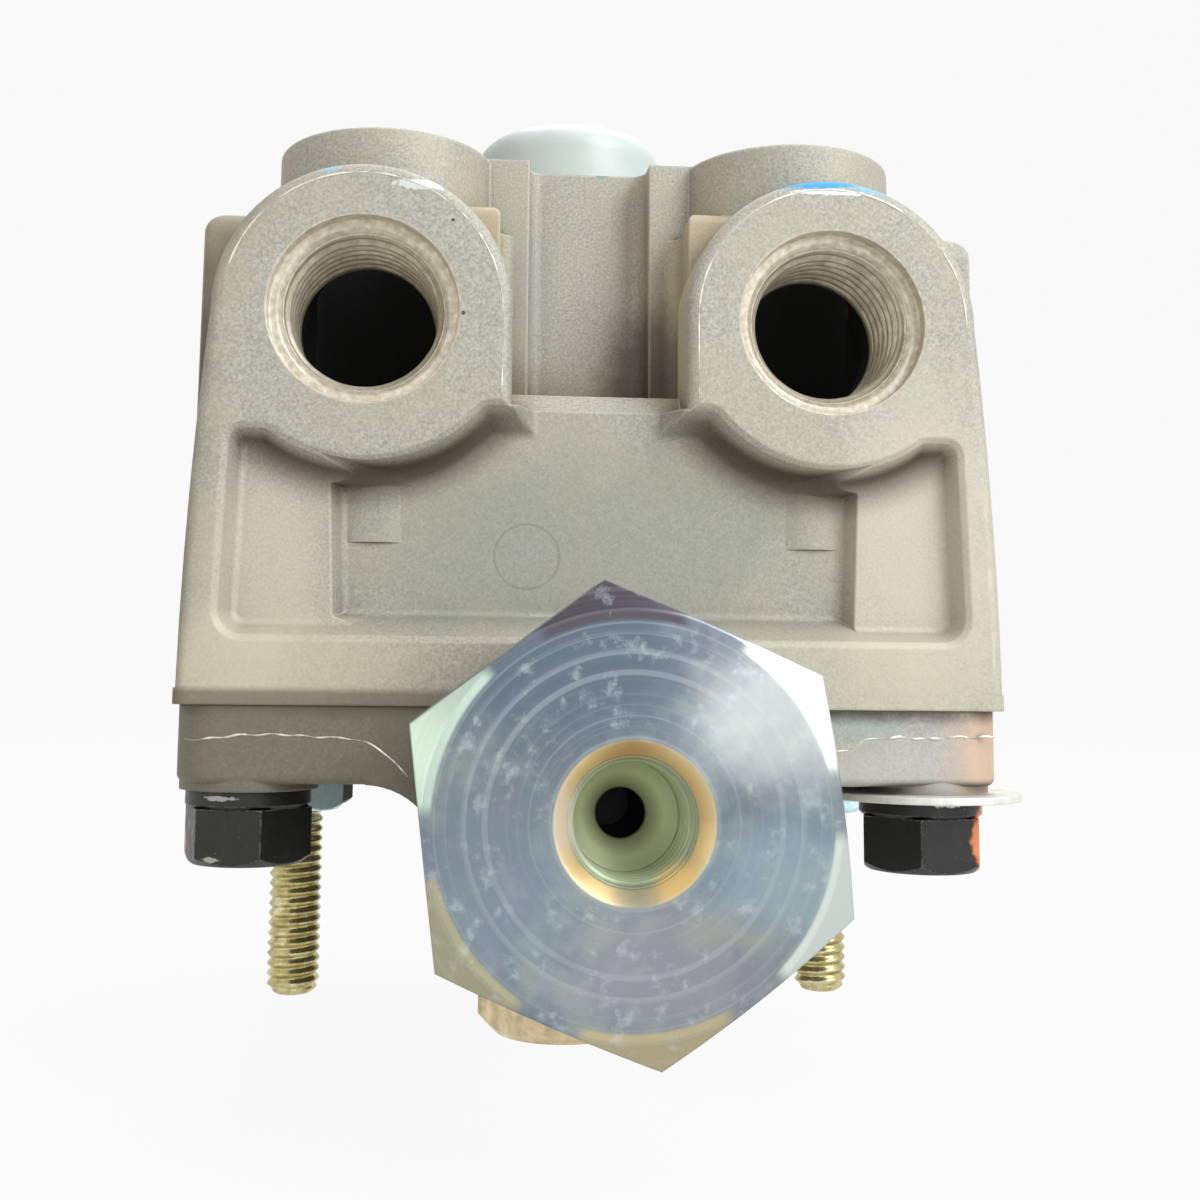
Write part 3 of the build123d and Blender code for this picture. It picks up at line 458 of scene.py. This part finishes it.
def coated(name, stops, roughness, metallic, spot_mm, worn_colour, worn_share, marks=()):
    """A thin coat on metal: a ramp over blotches of one size, with the bare metal showing at worn edges."""
    material, tree, shader, place = started(name)
    spots = speckle(tree, place, spot_mm)
    tone = ramp(tree, spots, stops)
    worn, bent = edge_worn(tree, part_edge_mm)
    flecks = combined(tree, "ADD", ragged_noise(tree, place, 0.5), 0.5)
    scuffed = combined(tree, "MAXIMUM", combined(tree, "MULTIPLY", worn, graded(tree, flecks, 0.42, 0.6)),
                       graded(tree, flecks, 0.68, 0.74))
    tone = blended(tree, combined(tree, "MULTIPLY", scuffed, worn_share), tone, worn_colour)
    tone = marked(tree, place, tone, marks)
    tree.links.new(tone, shader.inputs["Base Color"])
    tree.links.new(graded(tree, spots, 0.3, 0.7, roughness + 0.08, roughness - 0.08),
                   shader.inputs["Roughness"])
    shader.inputs["Metallic"].default_value = metallic
    bump = add(tree, "ShaderNodeBump", None,
               {"Strength": 0.4, "Distance": 0.03 * MM, "Height": spots, "Normal": bent})
    tree.links.new(bump.outputs["Normal"], shader.inputs["Normal"])
    return material


def turned_zinc():
    """Turned steel under clear zinc: soft rings round the axis, a grey-blue film with a painted highlight,
    corners painted with reflections, and a gold and green bore whose narrow passage is painted black as
    shade.
    """
    material, tree, shader, place = started("turned_zinc_plated_steel")
    flat, radius = from_axis(tree, place, (0, 0, nose_z), 1)
    rings = add(tree, "ShaderNodeTexNoise", {"noise_dimensions": "1D"},
                {"W": radius, "Scale": per(1.1), "Detail": 4.0, "Roughness": 0.6}).outputs["Fac"]
    film = speckle(tree, place, 9, 0.6)
    spots = speckle(tree, place, 2.2)
    tone = ramp(tree, film, [(0.34, "#8f9588"), (0.44, "#7f8a8d"), (0.52, "#6f7a82"), (0.60, "#777b86"),
                             (0.70, "#90999c")])
    tone = stained_and_painted_light(tree, place, tone, fitting_films_and_highlight)
    past_circle = graded(tree, radius, chamfer_circle_r * MM, (chamfer_circle_r + 0.5) * MM)
    along = add(tree, "ShaderNodeSeparateXYZ", None, {"Vector": place}).outputs[1]
    chamfer = graded(tree, along, -81.8 * MM, -82.6 * MM)
    # Painted reflections and highlights on the chamfered corners
    for degrees, colour in corner_painted_reflections:
        angle = math.radians(degrees)
        middle = (corner_r * math.cos(angle), -80, nose_z + corner_r * math.sin(angle))
        corner = in_patch(tree, place, 0.0, middle, (9, 12, 9), 0.0)
        beyond = combined(tree, "MULTIPLY", corner, combined(tree, "MULTIPLY", chamfer, past_circle))
        tone = blended(tree, beyond, tone, colour)
    tone = blended(tree, graded(tree, rings, 0.5, 0.7, 0.0, 0.16), tone, "#c9d1d3")
    tone = blended(tree, graded(tree, spots, 0.54, 0.74, 0.0, 0.35), tone, "#c9d2d4")
    reach = combined(tree, "DIVIDE", radius, 10 * MM)
    # Near the axis the narrow passage is painted black as shade
    bore = ramp(tree, reach, [(0.0, "#050505"), (0.265, "#070706"), (0.285, "#9da07e"), (0.45, "#e2e8bf"),
                              (0.58, "#cbd7b0"), (0.64, "#97a68e"), (0.70, "#d3b478"), (0.80, "#ead3a0")])
    bore = stained_and_painted_light(tree, place, bore, mouth_films)
    in_port = graded(tree, radius, (port_mouth_r + 0.35) * MM, port_mouth_r * MM)
    tone = blended(tree, in_port, tone, bore)
    tree.links.new(tone, shader.inputs["Base Color"])
    tree.links.new(graded(tree, in_port, 0.0, 1.0, 1.0, 0.4), shader.inputs["Metallic"])
    tree.links.new(graded(tree, rings, 0.3, 0.7, 0.40, 0.30), shader.inputs["Roughness"])
    shader.inputs["Anisotropic"].default_value = 0.65
    tangent = add(tree, "ShaderNodeVectorMath", {"operation": "NORMALIZE"}, {0: flat}).outputs[0]
    tree.links.new(tangent, shader.inputs["Tangent"])
    bent = add(tree, "ShaderNodeBevel", {"samples": 6}, {"Radius": 0.4 * MM}).outputs["Normal"]
    bump = add(tree, "ShaderNodeBump", None,
               {"Strength": 0.3, "Distance": 0.015 * MM, "Height": rings, "Normal": bent})
    tree.links.new(bump.outputs["Normal"], shader.inputs["Normal"])
    return material


def moulded_polymer(name, colour, darker, roughness):
    """A moulded plastic or rubber: one colour with faint clouds and a fine moulded skin."""
    material, tree, shader, place = started(name)
    cloud = add(tree, "ShaderNodeTexNoise", None,
                {"Vector": place, "Scale": per(6), "Detail": 2.0}).outputs["Fac"]
    skin = add(tree, "ShaderNodeTexNoise", None,
               {"Vector": place, "Scale": per(0.6), "Detail": 2.0}).outputs["Fac"]
    tree.links.new(blended(tree, graded(tree, cloud, 0.35, 0.65, 0.0, 0.5), colour, darker),
                   shader.inputs["Base Color"])
    shader.inputs["Roughness"].default_value = roughness
    shader.inputs["IOR"].default_value = 1.5
    bump = add(tree, "ShaderNodeBump", None, {"Strength": 0.15, "Distance": 0.03 * MM, "Height": skin})
    tree.links.new(bump.outputs["Normal"], shader.inputs["Normal"])
    return material


def surface(name, points, material, around=True):
    """A mesh from a grid of points in mm, shaped (rows, columns, 3).

    Each point is joined to its neighbours in both directions. With around, the
    last column joins the first. Rows that shrink to a point become a pole.
    """
    rows, columns, _ = points.shape
    index = np.arange(rows * columns).reshape(rows, columns)
    right = np.roll(index, -1, axis=1)
    if not around:
        index, right = index[:, :-1], right[:, :-1]
    quads = np.stack([index[:-1], right[:-1], right[1:], index[1:]], axis=-1).reshape(-1, 4)
    mesh = bpy.data.meshes.new(name)
    mesh.from_pydata((points.reshape(-1, 3) * MM).tolist(), [], quads.tolist())
    made = bmesh.new()
    made.from_mesh(mesh)
    bmesh.ops.remove_doubles(made, verts=made.verts, dist=1e-7)
    bmesh.ops.recalc_face_normals(made, faces=made.faces)
    made.to_mesh(mesh)
    made.free()
    mesh.polygons.foreach_set("use_smooth", [True] * len(mesh.polygons))
    mesh.materials.append(material)
    piece = bpy.data.objects.new(name, mesh)
    bpy.context.scene.collection.objects.link(piece)
    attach(piece, "housing")
    return piece


def aimed(points, origin, direction):
    """Points modelled along +Z, turned so that +Z is the direction and moved to the origin."""
    turn = np.array(Vector((0, 0, 1)).rotation_difference(Vector(direction)).to_matrix())
    return points @ turn.T + np.array(origin)


def turned_thread(radii, heights, pitch, depth, fade):
    """Points of a helical thread on a shaft or in a bore, modelled along Z.

    The radius at angle a and height z is the given radius plus depth times a
    rounded triangle wave of z / pitch - a / (2 pi), faded out by fade.
    """
    angle = np.linspace(0, 2 * np.pi, 96, endpoint=False)
    turns = heights[:, None] / pitch - angle[None, :] / (2 * np.pi)
    wave = np.abs(2 * (turns % 1) - 1)
    wave = np.clip(1.3 * wave - 0.15, 0, 1)
    radius = radii[:, None] + depth * wave * fade[:, None]
    return np.stack([radius * np.cos(angle), radius * np.sin(angle),
                     np.broadcast_to(heights[:, None], radius.shape)], axis=-1)


def port_thread(name, origin, direction, radii, length, pitch, material):
    """A thread in a port: the helical face inside, closed by a plain wall behind it.

    The radii are the crest's and the root's. The crest shrinks by the pipe
    taper of one in sixteen on the diameter.
    """
    crest_r, root_r = radii
    steps = int(length / pitch * points_a_pitch)
    heights = np.linspace(0, -length, steps)
    fade = np.clip(np.minimum(-heights, length + heights) / (0.6 * pitch), 0, 1)
    crest = crest_r + heights / 32
    lead = np.clip(1 + heights / (0.7 * pitch), 0, 1) * (root_r - crest_r - 0.1)
    inside = turned_thread(crest + lead, heights, pitch, root_r - crest_r - 0.1, fade * (1 - lead))
    angle = np.linspace(0, 2 * np.pi, 96, endpoint=False)
    wall = np.stack([root_r * np.cos(angle), root_r * np.sin(angle), 0 * angle], axis=-1)
    low, high = wall + [0, 0, -length], wall
    points = np.concatenate([inside, low[None], high[None], inside[:1]])
    return surface(name, aimed(points, origin, direction), material)


def flash_line(name, path, outward, width, material, taper=8):
    """A thin ragged ridge where the die's halves met: a flattened tube along a path, half sunk in the wall.

    Across the path its section is an ellipse, its size wandering with smoothed
    noise and shrinking to a pole at both ends.
    """
    seed = sum(ord(letter) for letter in name)
    wander = np.convolve(np.random.default_rng(seed).normal(0, 1, len(path) + 6), np.ones(7) / 7, "valid")
    share = np.clip(0.9 + 1.1 * wander, 0.3, 1.5)
    end = np.minimum(np.arange(len(path)), np.arange(len(path))[::-1]) / taper
    share = share * np.sqrt(np.clip(end, 0, 1))
    along = np.gradient(path, axis=0)
    along /= np.linalg.norm(along, axis=1, keepdims=True)
    outward = np.broadcast_to(np.asarray(outward, float), path.shape)
    across = np.cross(along, outward)
    angle = np.linspace(0, 2 * np.pi, 8, endpoint=False)
    swing = (across[:, None] * np.cos(angle)[None, :, None] * 0.5 * width
             + outward[:, None] * np.sin(angle)[None, :, None] * 0.4 * width)
    return surface(name, path[:, None] + swing * share[:, None, None], material)


def arc(centre_x, centre_z, radius, start, end, y, steps=160):
    """Points round a boss in its front plane, from one angle to another in degrees from +X towards +Z."""
    angle = np.radians(np.linspace(start, end, steps))
    return np.stack([centre_x + radius * np.cos(angle), np.full(steps, y), centre_z + radius * np.sin(angle)],
                    axis=-1)


def boss_edge(side, last, y):
    """Points up a boss's straight inner edge and over its top to an angle on its outer side."""
    over = arc(side * port_x, port_z, boss_flat_r, 180, last, 0.0)
    rise = np.stack([np.full(40, -boss_flat_r), np.zeros(40), np.linspace(boss_foot_z, port_z - 0.4, 40)],
                    axis=-1)
    points = np.concatenate([rise + [side * port_x, 0, 0], over]) + [0, y, 0]
    if side < 0:
        points[:, 0] = 2 * side * port_x - points[:, 0]
    return points


def wavy(corners, y, steps=120):
    """Points along straight runs between (x, z) corners, rounded by a running mean, with a faint wave."""
    corners = np.array(corners, float)
    run = np.concatenate([[0], np.cumsum(np.linalg.norm(np.diff(corners, axis=0), axis=1))])
    place = np.linspace(0, run[-1], steps + 8)
    x, z = (np.convolve(np.interp(place, run, corners[:, k]), np.ones(9) / 9, "valid") for k in (0, 1))
    return np.stack([x, np.full(steps, y), z + 0.08 * np.sin(x * 1.7)], axis=-1)


def stud_rod(side, material):
    """A threaded rod with a chamfered free end and closed by a pole at each end."""
    heights = np.linspace(stud_low, stud_high, int((stud_high - stud_low) / stud_pitch * points_a_pitch))
    tip = np.clip((heights - stud_low) / 2.2, 0, 1)
    fade = np.clip((heights - stud_low) / 1.2, 0, 1)
    rounding = 1.3 * (1 - np.sqrt(1 - (1 - tip) ** 2))
    rod = turned_thread(stud_r - 0.5 - rounding, heights, stud_pitch, stud_thread_depth, fade)
    pole_low = np.broadcast_to([0, 0, stud_low], rod[:1].shape)
    pole_high = np.broadcast_to([0, 0, stud_high], rod[:1].shape)
    points = np.concatenate([pole_low, rod, pole_high])
    return surface(f"stud_{'left' if side < 0 else 'right'}", points + [side * stud_x, 0, 0], material)


def lit_like_background(tree, share):
    """A share that camera, glossy and transmission rays see, and other rays don't."""
    path = add(tree, "ShaderNodeLightPath")
    seen = combined(tree, "MAXIMUM", path.outputs["Is Camera Ray"], path.outputs["Is Glossy Ray"])
    seen = combined(tree, "MAXIMUM", seen, path.outputs["Is Transmission Ray"])
    return combined(tree, "MULTIPLY", seen, share)


def floor_and_backdrop(low_z):
    """A pale sheet of matt paper: flat under the object, then up in a quarter circle behind it.

    The camera sees it nearly plain white, as in the photograph, with a faint shadow.
    """
    reach, bend, top = 2500.0, 900.0, 2500.0
    angle = np.linspace(0, np.pi / 2, 24)
    y = np.concatenate([[-reach], reach - bend + bend * np.sin(angle), [reach]])
    z = np.concatenate([[0], bend - bend * np.cos(angle), [top]])
    x = np.linspace(-reach, reach, 3)
    points = np.stack([np.broadcast_to(x[None, :], (len(y), 3)), np.broadcast_to(y[:, None], (len(y), 3)),
                       np.broadcast_to(z[:, None], (len(y), 3)) + low_z], axis=-1)
    material = bpy.data.materials.new("white_paper_sweep")
    material.use_nodes = True
    tree = material.node_tree
    shader = tree.nodes["Principled BSDF"]
    shader.inputs["Base Color"].default_value = linear("#c4c3bf")
    shader.inputs["Roughness"].default_value = 0.9
    white = add(tree, "ShaderNodeEmission", None, {"Color": (1, 1, 1, 1), "Strength": 1.0})
    mixed = add(tree, "ShaderNodeMixShader", None,
                {0: lit_like_background(tree, floor_white), 1: shader.outputs["BSDF"],
                 2: white.outputs["Emission"]})
    tree.links.new(mixed.outputs["Shader"], tree.nodes["Material Output"].inputs["Surface"])
    sheet = surface("paper_sweep", points, material, around=False)


def lights():
    """Soft lamps: a key from the upper right, a window to the right, a front, a warm fill and a top lamp.

    The window gives the turned rings their bright sector.
    """
    target = Vector((0, 0, 0.03))
    for name, place, size, power, colour in (
            ("key", (0.70, -0.70, 0.80), 0.6, 8.8, "#f6faff"),
            ("window", (0.66, -0.95, 0.30), 0.45, 2.4, "#fbfdff"),
            ("fill", (-0.95, -0.60, 0.15), 0.6, 1.1, "#fff4e2"),
            ("front", (0.06, -1.20, 0.09), 0.6, 1.2, "#fffdf8"),
            ("top", (0.1, 0.25, 0.95), 0.8, 5.0, "#ffffff")):
        lamp = bpy.data.lights.new(name, "AREA")
        lamp.size = size
        lamp.energy = power
        lamp.color = linear(colour)[:3]
        holder = bpy.data.objects.new(name, lamp)
        holder.location = place
        holder.rotation_euler = (target - Vector(place)).to_track_quat("-Z", "Y").to_euler()
        bpy.context.scene.collection.objects.link(holder)
    world = bpy.data.worlds.new("soft_room")
    bpy.context.scene.world = world
    world.use_nodes = True
    tree = world.node_tree
    shown = lit_like_background(tree, 1.0)
    strength = combined(tree, "ADD", room_strength, combined(tree, "MULTIPLY", shown, 1 - room_strength))
    tree.links.new(strength, tree.nodes["Background"].inputs["Strength"])
    tree.nodes["Background"].inputs["Color"].default_value = (1, 1, 1, 1)


def camera():
    """The camera from its place, its yaw, pitch and roll, and the optical centre in the frame."""
    yaw, pitch, roll = (math.radians(a) for a in (camera_yaw, camera_pitch, camera_roll))
    ahead = Vector((math.sin(yaw) * math.cos(pitch), math.cos(yaw) * math.cos(pitch), math.sin(pitch)))
    right = Vector((math.cos(yaw), -math.sin(yaw), 0))
    up = right.cross(ahead)
    right, up = (right * math.cos(roll) + up * math.sin(roll), up * math.cos(roll) - right * math.sin(roll))
    lens = bpy.data.cameras.new("photo_view")
    lens.lens = camera_lens
    lens.sensor_width = 36
    lens.clip_start = 0.01
    lens.shift_x = 0.5 - optical_centre[0] / image_side
    lens.shift_y = optical_centre[1] / image_side - 0.5
    holder = bpy.data.objects.new("photo_view", lens)
    turn = Matrix((right, up, -ahead)).transposed().to_4x4()
    holder.matrix_world = Matrix.Translation(camera_place) @ turn
    bpy.context.scene.collection.objects.link(holder)
    bpy.context.scene.camera = holder


def dressed(material, *names):
    """Gives CAD nodes one finish."""
    for name in names:
        slots = nodes[name].data.materials
        slots.clear()
        slots.append(material)


camera()
lights()
floor_and_backdrop(cad_box[0].z / MM)

# Black phosphated steel: near black and dull, its scraped corners grey
black = coated("black_phosphate_steel", [(0.3, "#060605"), (0.6, "#12120f"), (0.8, "#2b2b27")],
               0.42, 0.0, 1.2, "#b9b6ab", 0.6, screw_marks)
# Zinc under a yellow chromate: shiny gold-green threads with pale crests
yellow_zinc = coated("yellow_zinc_steel", [(0.3, "#9c9162"), (0.5, "#bbaf7c"), (0.7, "#dcd6b2")],
                     0.28, 1.0, 2.2, "#efe6c4", 0.4)
# The same chromate, thin and faded: a rosy gold in broad blotches
pale_yellow_zinc = coated("pale_yellow_zinc_steel", [(0.3, "#97917c"), (0.5, "#c9b691"), (0.7, "#e3d2b0")],
                          0.34, 1.0, 4.0, "#efe6d0", 0.4)
# Zinc under a clear chromate: a pale blue matt metal
clear_zinc = coated("clear_zinc_steel", [(0.3, "#bcd3da"), (0.6, "#d6ecf1"), (0.8, "#f0f8f8")],
                    0.62, 1.0, 2.0, "#f4f6f4", 0.4)
# Dull zinc on thin sheet: almost white
dull_zinc = coated("dull_zinc_sheet", [(0.3, "#d6d4cd"), (0.6, "#ecebe5"), (0.8, "#f7f6f2")],
                   0.6, 0.8, 2.5, "#f4f3ee", 0.4)
# Cut aluminium, in the threads and on the inner parts: brighter and warmer than the blasted skin
machined = coated("machined_aluminium", [(0.3, "#a9a08c"), (0.6, "#cdc4b0"), (0.8, "#e6dfce")],
                  0.42, 0.5, 1.5, "#f4efe2", 0.5)
# Broken flash: a bright bare line on the dull casting
flash_metal = coated("bright_casting_flash", [(0.3, "#dcd7c8"), (0.6, "#f1eee4"), (0.8, "#fbfaf5")],
                     0.4, 0.6, 0.8, "#ffffff", 0.4)
# Oiled spring steel: a dark grey with a soft shine
spring_steel = coated("oiled_spring_steel", [(0.3, "#55524c"), (0.6, "#7c7870"), (0.8, "#9b978e")],
                      0.35, 1.0, 1.0, "#c4c0b6", 0.4)
# Moulded nitrile rubber: black and matt. Moulded polyethylene: a pale sea green with a satin skin
rubber = moulded_polymer("nitrile_rubber", "#1c1c1c", "#262625", 0.6)
cap_plastic = moulded_polymer("moulded_polyethylene", "#dbe5e1", "#ced9d4", 0.35)

dressed(cast_aluminium(), "valve_body")
dressed(stained_cast_aluminium(), "cover")
dressed(black, "cover_screws", "lock_washers")
dressed(dull_zinc, "id_tag")
dressed(clear_zinc, "stud_nuts")
dressed(pale_yellow_zinc, "balance_plug")
fitting_zinc = turned_zinc()
dressed(fitting_zinc, "control_fitting")
dressed(machined, "relay_piston", "valve_guide", "valve_retainer")
dressed(spring_steel, "valve_spring", "spring_seat", "retaining_ring")
dressed(cap_plastic, "exhaust_cover")
dressed(rubber, "cover_seal", "fitting_seal", "check_disc", "piston_ring", "valve_face", "retainer_seal",
        "stem_seal", "exhaust_diaphragm")

studs = [stud_rod(side, yellow_zinc) for side in (-1, 1)]
for stud in studs:
    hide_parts("mounting_studs")
threads = [port_thread("supply_thread", (0, supply_mouth_y - 0.4, supply_z), (0, 1, 0),
                       three_quarter_inch, supply_thread_length, pipe_pitch, machined),
           port_thread("control_thread", (0, control_thread_y, nose_z), (0, -1, 0),
                       quarter_inch, control_thread_length, quarter_inch_pitch, fitting_zinc)]
for side, word in ((-1, "left"), (1, "right")):
    threads.append(port_thread(f"front_thread_{word}", (side * port_x, front_y + thread_setback, port_z),
                               (0, -1, 0), half_inch, front_thread_length, pipe_pitch, machined))
    threads.append(port_thread(f"top_thread_{word}", (side * top_port_x, top_port_y, top_z - thread_setback),
                               (0, 0, 1), half_inch, top_thread_length, pipe_pitch, machined))

# The parting line on the cover's front, as (x, z) corners in mm
left_parting = [(-51.2, 5.4), (-48.2, 5.3), (-43.5, 5.9), (-38.7, 6.0), (-33.9, 5.7),
                (-30.3, 5.6), (-27.3, 4.8), (-24.2, 2.1), (-22.4, 0.2)]
right_parting = [(27.5, 4.6), (30.6, 4.3), (32.2, 4.8), (33.0, 5.8), (37.9, 6.2), (41.8, 6.0),
                 (45.6, 6.3), (51.2, 6.3)]
ridges = [
    flash_line("flash_boss_left", boss_edge(-1, 8, front_y), (0, -1, 0), 0.2, flash_metal),
    flash_line("flash_boss_right", boss_edge(1, -4, front_y), (0, -1, 0), 0.22, flash_metal),
    flash_line("flash_cover_left", wavy(left_parting, cover_front_y), (0, -1, 0), 0.26, flash_metal),
    flash_line("flash_cover_right", wavy(right_parting, cover_front_y), (0, -1, 0), 0.28, flash_metal)]

scene = bpy.context.scene
scene.view_settings.view_transform = "Standard"
